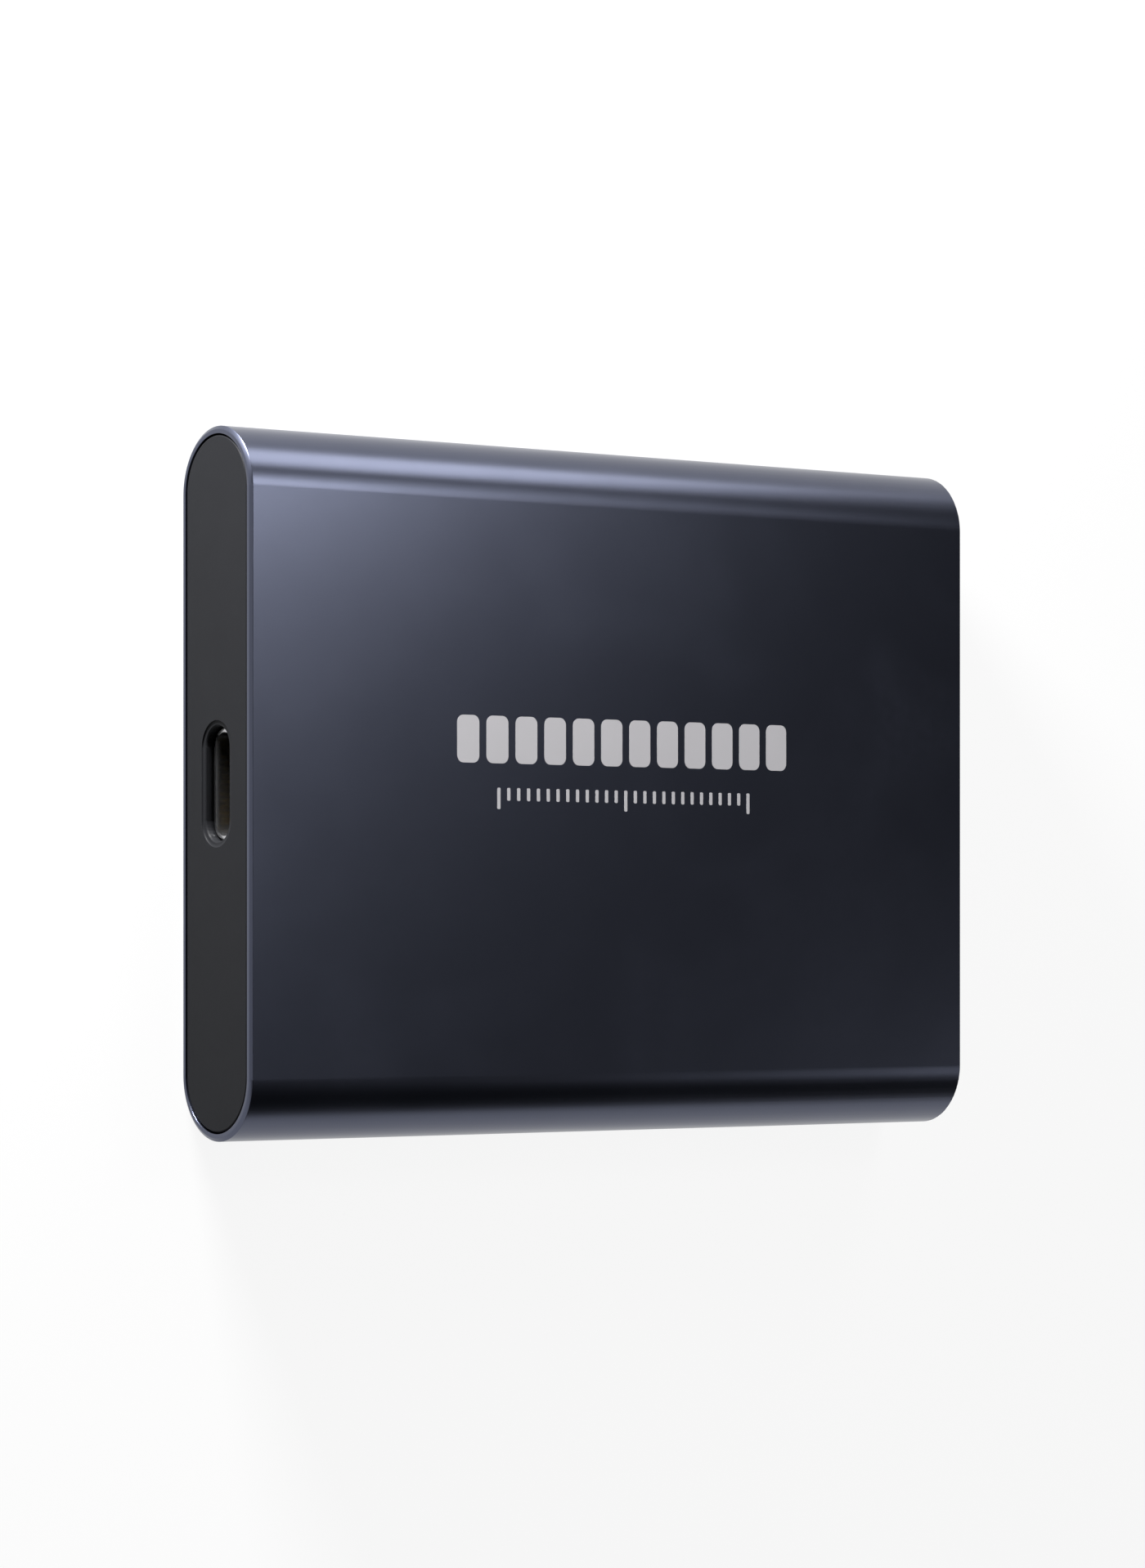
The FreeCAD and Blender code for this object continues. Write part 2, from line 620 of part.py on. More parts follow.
def make_receptacle_shell():
    """The drawn steel shell of the receptacle, with four solder legs."""
    body = new_body("port_shell")
    tube = new_sketch(body, "tube", "YZ_Plane", "mouth")
    draw_stadium(tube, "shell_width", "shell_height", "outside")
    draw_stadium(tube, "mouth_width", "mouth_height", "inside")
    pad(body, tube, "shell_length")
    legs = new_sketch(body, "legs", "YZ_Plane", "mouth + leg_front - leg_width / 2")
    inner, low = "mouth_width / 2 - 0.02", "board_bottom - leg_through"
    top, shoulder = "board_top + leg_sheet", "leg_reach - leg_sheet"
    for side in ("-", ""):
        outline = ((inner, top), ("leg_reach", top), ("leg_reach", low), (shoulder, low),
                   (shoulder, "board_top"), (inner, "board_top"))
        draw_polygon(legs, *((f"{side}({y})", z) for y, z in outline))
    front = pad(body, legs, "leg_width")
    pattern = body.newObject("PartDesign::LinearPattern", "port_shell_legs_pattern")
    pattern.Originals = [front]
    pattern.Direction = ([f for f in body.Origin.OriginFeatures if f.Role == "X_Axis"][0], [""])
    bind(pattern, Length="leg_pitch")
    pattern.Occurrences = 2
    body.Tip = pattern
    doc.recompute()
    return finish(place(body), "port_shell")


def row_of_contacts():
    """The places across the receptacle of its twelve contact pairs."""
    return [(i - 5.5) * number("pin_pitch") for i in range(12)]


def receptacle_contact(y, upper):
    """One contact: a strip along the tongue, through the base and down to the board."""
    half, thick = number("pin_width") / 2, number("pin_thick")
    back, board = number("shell_back"), number("board_top")
    surface = number("tongue_thick / 2 + pin_proud")
    top = surface if upper else thick - surface
    riser = back + number("far_row" if upper else "near_row")
    tip = number("tongue_tip + pin_back")
    return joined([
        block(tip, riser + thick, y - half, y + half, top - thick, top),
        block(riser, riser + thick, y - half, y + half, board, top),
        block(riser, riser + number("pin_foot"), y - half, y + half, board, board + thick),
    ])


def make_receptacle_inside():
    """The contacts, the steel plate between their rows, and the insulator moulded around both."""
    contacts = [receptacle_contact(y, upper) for y in row_of_contacts() for upper in (True, False)]
    contacts = shape_subpart("port_contacts", contacts)
    plate = doc.addObject("Part::Box", "port_mid_plate")
    length = "shell_back + plate_tail - tongue_tip - plate_back"
    bind(plate, Length=length, Width="plate_width", Height="plate_thick")
    place(plate, "tongue_tip + plate_back", "-plate_width / 2", "middle - plate_thick / 2")
    finish(plate, "port_mid_plate")
    body = new_body("port_moulding")
    tongue = new_sketch(body, "tongue", "YZ_Plane", "base_front")
    draw_centred_box(tongue, "tongue_width", "tongue_thick")
    pad(body, tongue, "base_front - tongue_tip", True)
    tip = number("tongue_tip")
    sides = edges_on_plane(body.Tip.Shape, "X", tip)
    bevel(body, sides, "tongue_thick / 5")
    base = new_sketch(body, "base", "YZ_Plane", "base_front")
    gap = "2 * insulator_gap"
    draw_stadium(base, f"mouth_width - {gap}", f"mouth_height - {gap}")
    pad(body, base, "insulator_base")
    root = new_sketch(body, "root", "YZ_Plane", "base_front")
    draw_stadium(root, "root_width", "root_thick")
    pad(body, root, "root_length", True)
    place(body)
    return cut_from("port_insulator", body, contacts, plate)


def cut_from(name, body, *tools):
    """A sub-part that is a body with the shapes of its inserts cut out of it."""
    inserts = doc.addObject("Part::Compound", f"{name}_inserts")
    inserts.Links = list(tools)
    cut = doc.addObject("Part::Cut", name)
    cut.Base = body
    cut.Tool = inserts
    return finish(cut, name)


# --- boards ---------------------------------------------------------------------------------------


def corner_edges(body, x_levels, half_width):
    """The upright edges at a board's outer corners."""
    names = []
    for i, edge in enumerate(body.Tip.Shape.Edges, start=1):
        box = edge.BoundBox
        upright = box.XLength < TINY and box.YLength < TINY
        if upright and abs(abs(box.YMin) - half_width) < TINY:
            if any(abs(box.XMin - level) < TINY for level in x_levels):
                names.append(f"Edge{i}")
    return names


def make_main_board():
    """The bridge board: notched for the receptacle, slotted for its legs and drilled for four screws."""
    body = new_body("main_board")
    outline = new_sketch(body, "outline", "XY_Plane", "board_bottom")
    draw_box(outline, "board_front", "board_rear", "-board_half", "board_half")
    pad(body, outline, "board_thick")
    ends = [number("board_front"), number("board_rear")]
    round_edges(body, corner_edges(body, ends, number("board_half")), "board_corner")
    notch = new_sketch(body, "notch", "XY_Plane", "board_top")
    half = "shell_width / 2 + notch_gap"
    draw_box(notch, "board_front", "shell_back + notch_gap", f"-({half})", half)
    pocket(body, notch, "board_thick")
    slots = new_sketch(body, "leg_slots", "XY_Plane", "board_top")
    for start in ("mouth + leg_front", "mouth + leg_front + leg_pitch"):
        for side in ("-", ""):
            left, right = f"{start} - leg_width / 2 - slot_gap", f"{start} + leg_width / 2 + slot_gap"
            near = f"{side}(leg_reach - leg_sheet - slot_gap)"
            draw_box(slots, left, right, near, f"{side}(leg_reach + slot_gap)")
    pocket(body, slots, "board_thick")
    holes = new_sketch(body, "screw_holes", "XY_Plane", "board_top")
    for x in ("post_front", "post_rear"):
        for side in ("-", ""):
            draw_circle(holes, x, f"{side}post_spread", "small_screw + screw_gap")
    pocket(body, holes, "board_thick")
    return finish(place(body), "main_board")


def make_storage_card():
    """The storage card: a narrower contact edge with its key notch, and two screw holes at the far end."""
    body = new_body("storage_card")
    outline = new_sketch(body, "outline", "XY_Plane", "card_bottom")
    draw_box(outline, "card_front", "card_rear", "-card_width / 2", "card_width / 2")
    pad(body, outline, "card_thick")
    corners = new_sketch(body, "edge_corners", "XY_Plane", "card_top")
    for side in ("-", ""):
        near, far = f"{side}card_edge_width / 2", f"{side}card_width / 2"
        draw_box(corners, "card_front", "card_front + slot_depth", near, far)
    pocket(body, corners, "card_thick")
    key = new_sketch(body, "key", "XY_Plane", "card_top")
    low, high = "key_y - key_width / 2", "key_y + key_width / 2"
    draw_box(key, "card_front", "card_front + slot_depth", low, high)
    pocket(body, key, "card_thick")
    holes = new_sketch(body, "screw_holes", "XY_Plane", "card_top")
    for side in ("-", ""):
        draw_circle(holes, "card_hole_x", f"{side}card_hole_spread / 2", "card_hole_radius")
    pocket(body, holes, "card_thick")
    return finish(place(body), "storage_card")


def card_contact_rows():
    """The places across the card of its contacts: eight on one side of the key, eighteen on the other."""
    pitch, gap = number("socket_pitch"), number("card_key_pitch")
    start = -(24 * pitch + gap) / 2
    first = [start + i * pitch for i in range(8)]
    second = [first[-1] + gap + i * pitch for i in range(18)]
    return first + second


def socket_contact(y, upper):
    """One socket contact: a foot on the board, a riser in the housing, and a beam along the card's face."""
    half, thick, play = number("beam_width") / 2, number("beam_thick"), number("beam_play")
    front, back = number("socket_front"), number("socket_back")
    board, inset, reach = number("board_top"), number("beam_inset"), number("beam_foot")
    if upper:
        low = number("card_top") + play
        riser = (front + inset, front + inset + thick)
        foot = (front - reach, riser[1])
        beam = (riser[0], back - inset)
    else:
        low = number("card_bottom") - play - thick
        riser = (back - inset - thick, back - inset)
        foot = (riser[0], back + reach)
        beam = (number("card_front + finger_back"), riser[1])
    return joined([
        block(*beam, y - half, y + half, low, low + thick),
        block(*riser, y - half, y + half, board, low + thick),
        block(*foot, y - half, y + half, board, board + thick),
    ])


def make_card_socket():
    """The socket that takes the storage card's edge, moulded around its contacts."""
    rows = card_contact_rows()
    contacts = [socket_contact(y, upper) for y in rows for upper in (True, False)]
    contacts = shape_subpart("socket_contacts", contacts)
    body = new_body("socket_moulding")
    housing = new_sketch(body, "housing", "YZ_Plane", "socket_front")
    draw_box(housing, "-socket_width / 2", "socket_width / 2", "board_top", "board_top + socket_height")
    pad(body, housing, "socket_depth")
    slot = new_sketch(body, "slot", "YZ_Plane", "socket_back")
    low, high = "card_bottom - slot_play", "card_top + slot_play"
    edge, key = "(card_edge_width / 2 + key_play)", "(key_width / 2 - key_play)"
    draw_box(slot, f"-{edge}", f"key_y - {key}", low, high)
    draw_box(slot, f"key_y + {key}", edge, low, high)
    pocket(body, slot, "slot_depth")
    place(body)
    return cut_from("card_socket", body, contacts)


def make_edge_fingers():
    """The plated contacts on both faces of the card's edge."""
    half, thick = number("finger_width") / 2, number("finger_thick")
    start = number("card_front + finger_back")
    end = start + number("finger_length")
    top, bottom = number("card_top"), number("card_bottom")
    faces = ((top, top + thick), (bottom - thick, bottom))
    fingers = [block(start, end, y - half, y + half, *z) for y in card_contact_rows() for z in faces]
    return shape_subpart("edge_fingers", fingers)


# --- components -----------------------------------------------------------------------------------


def new_package(name, length, width, height):
    """A moulded chip about its own origin: bevelled round the top, with a dimple at its first pin."""
    body = new_body(name)
    outline = new_sketch(body, "outline", "XY_Plane")
    draw_centred_box(outline, length, width)
    pad(body, outline, height)
    bevel(body, edges_on_plane(body.Tip.Shape, "Z", number(height)), "package_edge")
    mark = new_sketch(body, "first_pin", "XY_Plane", height)
    draw_circle(mark, f"-({length}) / 2 + mark_inset", f"({width}) / 2 - mark_inset", "mark_radius")
    pocket(body, mark, "mark_depth")
    return body


def make_chips():
    """The packages on both boards. The two flash memories are one sub-part."""
    on_card, on_board = "middle + card_top", "middle + board_top"
    memory = new_package("memory_package", "memory_length", "memory_width", "package_height")
    spots = [(x, "0", on_card) for x in ("first_memory_x", "second_memory_x")]
    copies("flash_memories", memory, spots)
    chips = (
        ("storage_controller", "controller_side", "controller_side", "package_height",
         "controller_x", "controller_y", on_card),
        ("cache_memory", "cache_length", "cache_width", "cache_height", "controller_x", "cache_y", on_card),
        ("bridge_chip", "bridge_side", "bridge_side", "bridge_height", "parts_x", "bridge_offset", on_board),
        ("regulator", "small_chip", "small_chip", "small_chip_height", "parts_x", "regulator_y", on_board),
        ("firmware_memory", "small_chip", "small_chip", "small_chip_height",
         "socket_front + socket_depth / 2", "-side_y", on_board),
    )
    for name, length, width, height, x, y, z in chips:
        finish(place(new_package(name, length, width, height), x, y, z), name)


def make_power_inductor():
    """A shielded inductor: a square core with rounded corners and a round winding window on top."""
    body = new_body("power_inductor")
    core = new_sketch(body, "core", "XY_Plane")
    draw_centred_box(core, "coil_side", "coil_side")
    pad(body, core, "coil_height")
    half = number("coil_side / 2")
    round_edges(body, corner_edges(body, (-half, half), half), "coil_side / 8")
    window = new_sketch(body, "window", "XY_Plane", "coil_height")
    draw_circle(window, "0", "0", "coil_side * 0.4")
    draw_circle(window, "0", "0", "coil_side * 0.3")
    pocket(body, window, "coil_height / 6")
    return finish(place(body, "parts_x", "coil_top_y", "middle + board_top"), "power_inductor")


def make_crystal():
    """A seam-welded crystal: a ceramic base with a smaller metal can on it."""
    body = new_body("crystal")
    base = new_sketch(body, "base", "XY_Plane")
    draw_centred_box(base, "crystal_length", "crystal_width")
    pad(body, base, "crystal_height * 0.4")
    can = new_sketch(body, "can", "XY_Plane", "crystal_height * 0.4")
    draw_centred_box(can, "crystal_length - 2 * crystal_step", "crystal_width - 2 * crystal_step")
    pad(body, can, "crystal_height * 0.6")
    spot = ("socket_front + socket_depth / 2", "side_y", "middle + board_top")
    return finish(place(body, *spot), "crystal")


def chip_capacitor(x, y, z, length, width, turned):
    """A ceramic capacitor as a body and its two end caps, lying on a board."""
    cap = length / 5
    height = width
    half, side = length / 2, width / 2
    body = block(-half + cap, half - cap, -side, side, 0, height)
    ends = [block(x, x + cap, -side, side, 0, height) for x in (-half, half - cap)]
    turn = Rotation(Vector(0, 0, 1), 90 if turned else 0)
    spot = FreeCAD.Placement(Vector(x, y, z), turn)
    return [piece.transformed(spot.toMatrix()) for piece in (body, *ends)]


def evenly(first, last, count):
    """Places from first to last, evenly spaced."""
    return [first + (last - first) * i / (count - 1) for i in range(count)]


def make_capacitors():
    """Small capacitors round the bridge chip and the memories, and larger ones beside the card."""
    board, card = number("board_top"), number("card_top")
    small, large = (1.0, 0.5), (2.0, 1.25)
    start, end = number("parts_x - bridge_side / 2 + 0.5"), number("parts_x + bridge_side / 2 - 0.5")
    near_chip = number("bridge_offset - bridge_side / 2 - 1.2")
    on_board = [(x, near_chip, board, *small, True) for x in evenly(start, end, 4)]
    start, end = number("socket_back + 2"), number("post_rear - post_radius - 2")
    beside = number("side_y")
    on_board += [(x, y, board, *large, False) for x in evenly(start, end, 8) for y in (-beside, beside)]
    start = number("first_memory_x - memory_length / 2 + 1")
    end = number("card_hole_x - card_head - 1.5")
    edge = number("(memory_width + card_width) / 4")
    on_card = [(x, y, card, *small, False) for x in evenly(start, end, 11) for y in (-edge, edge)]
    for name, spots in (("board_capacitors", on_board), ("card_capacitors", on_card)):
        parts = [chip_capacitor(*spot) for spot in spots]
        shape_subpart(name, [body for body, _, _ in parts])
        shape_subpart(name.replace("capacitors", "terminals"), [end for _, *ends in parts for end in ends])


def make_thermal_pad():
    """The soft pad between the card's packages and the cover."""
    start, end = "controller_x - controller_side / 2", "second_memory_x + memory_length / 2"
    thing = doc.addObject("Part::Box", "thermal_pad")
    bind(thing, Length=f"{end} - ({start})", Width="memory_width", Height="cover_inside - package_top")
    place(thing, start, "-memory_width / 2", "middle + package_top")
    return finish(thing, "thermal_pad")


# --- fasteners ------------------------------------------------------------------------------------


def new_screw(name, outline, top):
    """A screw about the Z axis, turned from its half section, with a cross recess in its top."""
    body = new_body(name)
    section = new_sketch(body, "section", "XZ_Plane")
    draw_polygon(section, *outline)
    turned = body.newObject("PartDesign::Revolution", f"{name}_turned")
    turned.Profile = section
    turned.ReferenceAxis = (section, ["V_Axis"])
    turned.Angle = 360
    doc.recompute()
    cross = new_sketch(body, "cross", "XY_Plane", top)
    arm = (("cross_reach", "cross_half"), ("cross_half", "cross_half"), ("cross_half", "cross_reach"))
    outline = [(x, y) for x, y in arm]
    outline += [(f"-{x}", y) for x, y in reversed(arm)]
    outline += [(f"-{x}", f"-{y}") for x, y in arm]
    outline += [(x, f"-{y}") for x, y in reversed(arm)]
    draw_polygon(cross, *outline)
    pocket(body, cross, "cross_depth")
    return body


def flat_head_outline(thread, head, length):
    """The half section of a screw whose head stands on Z = 0 and whose thread goes down from it."""
    return (("0", f"-({length})"), (thread, f"-({length})"), (thread, "0"), (head, "0"),
            (head, "head_height * 0.7"), (f"{head} * 0.8", "head_height"), ("0", "head_height"))


def make_screws():
    """Four board screws, two card screws and two countersunk rear screws."""
    board = new_screw("board_screw", flat_head_outline("small_screw", "small_head", "board_screw_length"),
                      "head_height")
    spots = [(x, f"{side}post_spread", "middle + board_top")
             for x in ("post_front", "post_rear") for side in ("-", "")]
    copies("board_screws", board, spots)
    card = new_screw("card_screw_part", flat_head_outline("card_screw", "card_head", "card_screw_length"),
                     "head_height")
    spots = [("card_hole_x", f"{side}card_hole_spread / 2", "middle + card_top") for side in ("-", "")]
    copies("card_screws", card, spots)
    sunk = (("0", "-rear_screw_length"), ("small_screw", "-rear_screw_length"),
            ("small_screw", "-rear_head_height"), ("small_head", "0"), ("0", "0"))
    rear = new_screw("rear_screw", sunk, "0")
    rear_screws = copies("rear_screws", rear,
                         [("plate_face", f"{side}rear_screw_y", "middle") for side in ("-", "")])
    for link in rear_screws.Links:
        link.Placement.Rotation = Rotation(Vector(0, 1, 0), 90)


def make_standoffs():
    """Two brass standoffs that hold up the card's far end."""
    body = new_body("standoff")
    ring = new_sketch(body, "ring", "XY_Plane")
    draw_circle(ring, "0", "0", "standoff_radius")
    draw_circle(ring, "0", "0", "card_screw + thread_gap")
    pad(body, ring, "card_lift")
    spots = [("card_hole_x", f"{side}card_hole_spread / 2", "middle + board_top") for side in ("-", "")]
    return copies("card_standoffs", body, spots)


# --- the whole drive ------------------------------------------------------------------------------


def check_document():
    """Stops the build if an object failed or a sub-part has no sound shape."""
    doc.recompute()
    failed = [o.Name for o in doc.Objects if {"Invalid", "Error"} & set(o.State)]
    if failed:
        raise ValueError(f"these objects failed: {failed}")
    for name, thing in SUBPARTS.items():
        shape = thing.Shape
        if shape.isNull() or not shape.isValid() or not shape.Solids:
            raise ValueError(f"{name} has no valid solid")


def write_parts():
    os.makedirs("parts", exist_ok=True)
    for name, thing in SUBPARTS.items():
        thing.Shape.exportStep(os.path.join("parts", f"{name}.step"))


def main():
    fill_sheet()
    make_sleeve()
    make_port_cap()
    make_rear_plate()
    make_trim()
    make_tray()
    make_cover()
    make_receptacle_shell()
    make_receptacle_inside()
    make_main_board()
    make_card_socket()
    make_storage_card()
    make_edge_fingers()
    make_chips()
    make_power_inductor()
    make_crystal()
    make_capacitors()
    make_thermal_pad()
    make_screws()
    make_standoffs()
    check_document()
    write_parts()
    print(f"{len(SUBPARTS)} sub-parts written")


main()
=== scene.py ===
"""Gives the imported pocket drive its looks: smooth outer pieces, a printed marking, finishes and a stage.

Metres, in the frame's own axes: +X runs from the port end to the far end, +Y across the wide face and +Z out
of it. The drive lies on its back on the floor, and the camera looks down on its front and its port end.
"""

import json
import math

import bmesh
import bpy
from bpy.props import FloatProperty, FloatVectorProperty, IntProperty, PointerProperty
from mathutils import Matrix, Vector


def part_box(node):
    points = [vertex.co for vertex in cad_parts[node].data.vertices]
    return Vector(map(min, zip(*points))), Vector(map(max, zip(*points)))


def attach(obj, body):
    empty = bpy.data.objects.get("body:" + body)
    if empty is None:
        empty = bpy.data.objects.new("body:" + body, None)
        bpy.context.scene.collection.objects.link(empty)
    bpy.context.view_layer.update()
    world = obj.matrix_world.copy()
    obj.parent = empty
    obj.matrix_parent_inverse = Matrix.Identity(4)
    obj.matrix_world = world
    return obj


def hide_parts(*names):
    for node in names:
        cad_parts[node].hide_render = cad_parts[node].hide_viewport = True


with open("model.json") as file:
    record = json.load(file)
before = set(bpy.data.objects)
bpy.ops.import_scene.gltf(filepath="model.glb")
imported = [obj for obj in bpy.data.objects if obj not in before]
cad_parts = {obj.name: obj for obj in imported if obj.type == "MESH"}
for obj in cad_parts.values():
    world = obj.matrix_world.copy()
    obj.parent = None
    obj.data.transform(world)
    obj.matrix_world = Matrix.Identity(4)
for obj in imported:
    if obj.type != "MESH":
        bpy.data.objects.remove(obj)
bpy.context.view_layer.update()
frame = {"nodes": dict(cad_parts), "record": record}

bl_info = {
    "name": "Pocket drive",
    "version": (1, 0, 0),
    "blender": (4, 5, 0),
    "location": "View3D > Sidebar > Drive",
    "description": "Builds a pocket solid state drive's outer pieces, finishes, marking and stage",
    "category": "Object",
}

MM = 0.001
BODY = "root"
MERGE = 1e-6
EDGE_SEGMENTS = 3
CORNER_SEGMENTS = 6


# --- settings ---------------------------------------------------------------------------------------


def length_setting(name, description, default):
    """A length in millimetres that a user may change."""
    return FloatProperty(name=name, description=description, default=default * MM, unit="LENGTH", precision=5)


def colour_setting(name, description, default):
    """A linear colour that a user may change."""
    return FloatVectorProperty(name=name, description=description, default=default, subtype="COLOR",
                               min=0, max=1)


def factor_setting(name, description, default):
    """A share from 0 to 1 that a user may change."""
    return FloatProperty(name=name, description=description, default=default, subtype="FACTOR", min=0, max=1)


class DriveSizes(bpy.types.PropertyGroup):
    """Sizes of the outer pieces that the frame's boxes don't give."""

    arc_steps: IntProperty(name="Arc steps", description="Straight steps round a whole circle", default=144)
    wall: length_setting("Wall", "Sleeve wall", 1.2)
    lip: length_setting("Lip", "Sleeve wall around an end cap", 0.62)
    seat: length_setting("Seat", "Depth of the seat for an end cap", 1.6)
    rim_axial: length_setting("Rim depth", "Bevel of the sleeve's ends, along its length", 0.2)
    rim_radial: length_setting("Rim width", "Bevel of the sleeve's ends, across its wall", 0.3)
    edge_round: length_setting("Edge round", "Rounding of the sleeve's crisp edges", 0.03)
    cap_edge: length_setting("Cap edge", "Bevel around an end cap's face", 0.1)
    skirt_wall: length_setting("Skirt wall", "Wall of the skirt behind the port cap", 0.8)
    skirt_length: length_setting("Skirt length", "Length of that skirt", 2.2)
    slide_gap: length_setting("Slide gap", "Clearance of the skirt in the sleeve", 0.15)
    ring_width: length_setting("Recess width", "Width of the shallow recess around the port", 10.15)
    ring_height: length_setting("Recess height", "Height of that recess", 4.4)
    ring_depth: length_setting("Recess depth", "Depth of that recess", 0.1)
    port_gap: length_setting("Port gap", "Clearance of the receptacle in the port hole", 0.2)
    port_edge: length_setting("Port edge", "Bevel around the port hole", 0.12)
    shell_width: length_setting("Receptacle width", "Outside width of the receptacle", 8.84)
    shell_height: length_setting("Receptacle height", "Outside height of the receptacle", 3.06)
    lug_thick: length_setting("Lug thickness", "Thickness of the port cap's lugs", 0.6)
    lug_eye: length_setting("Lug eye", "Radius of the screw hole in a lug", 0.95)
    screw_head: length_setting("Screw head", "Head radius of the board screws", 1.5)


class DriveMarking(bpy.types.PropertyGroup):
    """The printed marking: a row of rounded cells over a finer row of scale ticks."""

    cells: IntProperty(name="Cells", description="Cells in the upper row", default=12)
    cell_width: length_setting("Cell width", "Width of a cell", 2.2)
    cell_height: length_setting("Cell height", "Height of a cell", 3.9)
    cell_pitch: length_setting("Cell pitch", "Distance between cells", 2.92)
    cell_round: length_setting("Cell corner", "Corner radius of a cell", 0.6)
    ticks: IntProperty(name="Ticks", description="Ticks in the lower row", default=27)
    tick_width: length_setting("Tick width", "Width of a tick", 0.32)
    tick_height: length_setting("Tick height", "Height of a long tick", 1.75)
    tick_pitch: length_setting("Tick pitch", "Distance between ticks", 1.0)
    upper_row: length_setting("Upper row", "Middle of the cells above the face's centre line", 3.95)
    lower_row: length_setting("Lower row", "Top of the ticks above the face's centre line", 0.0)
    ink: length_setting("Ink", "Thickness of the ink", 0.008)


class DriveFinishes(bpy.types.PropertyGroup):
    """Colours of the finishes, and the roughness of the ones that show."""

    sleeve: colour_setting("Sleeve", "Anodised aluminium", (0.088, 0.096, 0.134))
    sleeve_roughness: factor_setting("Sleeve roughness", "Roughness of the blasted metal", 0.30)
    cap: colour_setting("Caps", "Matt plastic of the end caps", (0.007, 0.0073, 0.0083))
    cap_roughness: factor_setting("Cap roughness", "Roughness of the end caps", 0.5)
    ink: colour_setting("Ink", "Printed marking", (0.47, 0.46, 0.48))
    frame_plastic: colour_setting("Frame plastic", "Tray and rear plate", (0.018, 0.018, 0.019))
    tape: colour_setting("Tape", "Adhesive tape", (0.03, 0.03, 0.03))
    bare_metal: colour_setting("Bare aluminium", "Pressed cover", (0.62, 0.63, 0.64))
    steel: colour_setting("Steel", "Receptacle, screws and crystal", (0.56, 0.56, 0.57))
    gold: colour_setting("Gold", "Plated contacts", (0.83, 0.6, 0.25))
    brass: colour_setting("Brass", "Standoffs", (0.72, 0.55, 0.26))
    tin: colour_setting("Tin", "Capacitor ends", (0.66, 0.66, 0.65))
    mask: colour_setting("Solder mask", "Circuit boards", (0.008, 0.055, 0.03))
    resin: colour_setting("Resin", "Moulded packages", (0.02, 0.02, 0.022))
    ceramic: colour_setting("Ceramic", "Capacitor bodies", (0.36, 0.23, 0.13))
    ferrite: colour_setting("Ferrite", "Inductor core", (0.05, 0.05, 0.055))
    moulding: colour_setting("Moulding", "Port tongue and card socket", (0.012, 0.012, 0.013))
    silicone: colour_setting("Silicone", "Thermal pad", (0.32, 0.42, 0.52))


# --- modelling --------------------------------------------------------------------------------------


def reshape(bm, verts, old, new):
    """Moves a ring of verts from one stadium section (place along the axis, width, height) to another."""
    (old_x, old_width, old_height), (new_x, new_width, new_height) = old, new
    halves = [(side, [v for v in verts if v.co.y * side > 0]) for side in (-1, 1)]
    for side, half in halves:
        bmesh.ops.translate(bm, verts=half, vec=(0, -side * (old_width - old_height) / 2, 0))
    grow = new_height / old_height
    bmesh.ops.scale(bm, verts=verts, vec=(1, grow, grow))
    for side, half in halves:
        bmesh.ops.translate(bm, verts=half, vec=(new_x - old_x, side * (new_width - new_height) / 2, 0))


def loft(bm, sections, steps, closed=False, rounded=(), radius=0.0):
    """Skins stadium sections (place, width, height) along the X axis, from the first to the last.

    A closed loft goes back to its first section, as a hollow shell does. The edges of the sections whose
    numbers are in rounded get a small rounding.
    """
    before = set(bm.verts)
    step = math.pi / steps
    turn = Matrix.Rotation(math.pi / 2, 4, "Y") @ Matrix.Rotation(step, 4, "Z")
    radius_at_corner = 0.5 / math.cos(step)
    made = bmesh.ops.create_circle(bm, segments=steps, radius=radius_at_corner, matrix=turn)
    verts = made["verts"]
    edges = list({edge for vert in verts for edge in vert.link_edges})
    reshape(bm, verts, (0, 1, 1), sections[0])
    rings = [edges]
    route = list(sections[1:]) + ([sections[0]] if closed else [])
    if not closed:
        bmesh.ops.contextual_create(bm, geom=edges)
    here = sections[0]
    for there in route:
        grown = bmesh.ops.extrude_edge_only(bm, edges=rings[-1])["geom"]
        verts = [item for item in grown if isinstance(item, bmesh.types.BMVert)]
        ring = set(verts)
        reshape(bm, verts, here, there)
        rings.append([e for v in verts for e in v.link_edges if set(e.verts) <= ring and e.verts[0] is v])
        here = there
    if closed:
        bmesh.ops.remove_doubles(bm, verts=[v for v in bm.verts if v not in before], dist=MERGE)
        rings[0] = rings[0] + rings[-1]
    else:
        bmesh.ops.contextual_create(bm, geom=rings[-1])
    crisp = [edge for index in rounded for edge in rings[index] if edge.is_valid]
    if crisp:
        bmesh.ops.bevel(bm, geom=crisp, offset=radius, offset_type="OFFSET", segments=EDGE_SEGMENTS,
                        profile=0.5, affect="EDGES", material=-1, clamp_overlap=True)
    return [vert for vert in bm.verts if vert not in before]


def finish_piece(bm, name, material, smooth=True):
    """Makes the bmesh an object at the origin that rides on the drive."""
    bmesh.ops.recalc_face_normals(bm, faces=bm.faces[:])
    for face in bm.faces:
        face.smooth = smooth
    mesh = bpy.data.meshes.new(name)
    bm.to_mesh(mesh)
    bm.free()
    mesh.materials.append(material)
    piece = bpy.data.objects.new(name, mesh)
    bpy.context.scene.collection.objects.link(piece)
    if smooth:
        weighted = piece.modifiers.new("Weighted normals", "WEIGHTED_NORMAL")
        weighted.weight = 100
        weighted.keep_sharp = True
    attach(piece, BODY)
    return piece


# --- shader groups ----------------------------------------------------------------------------------


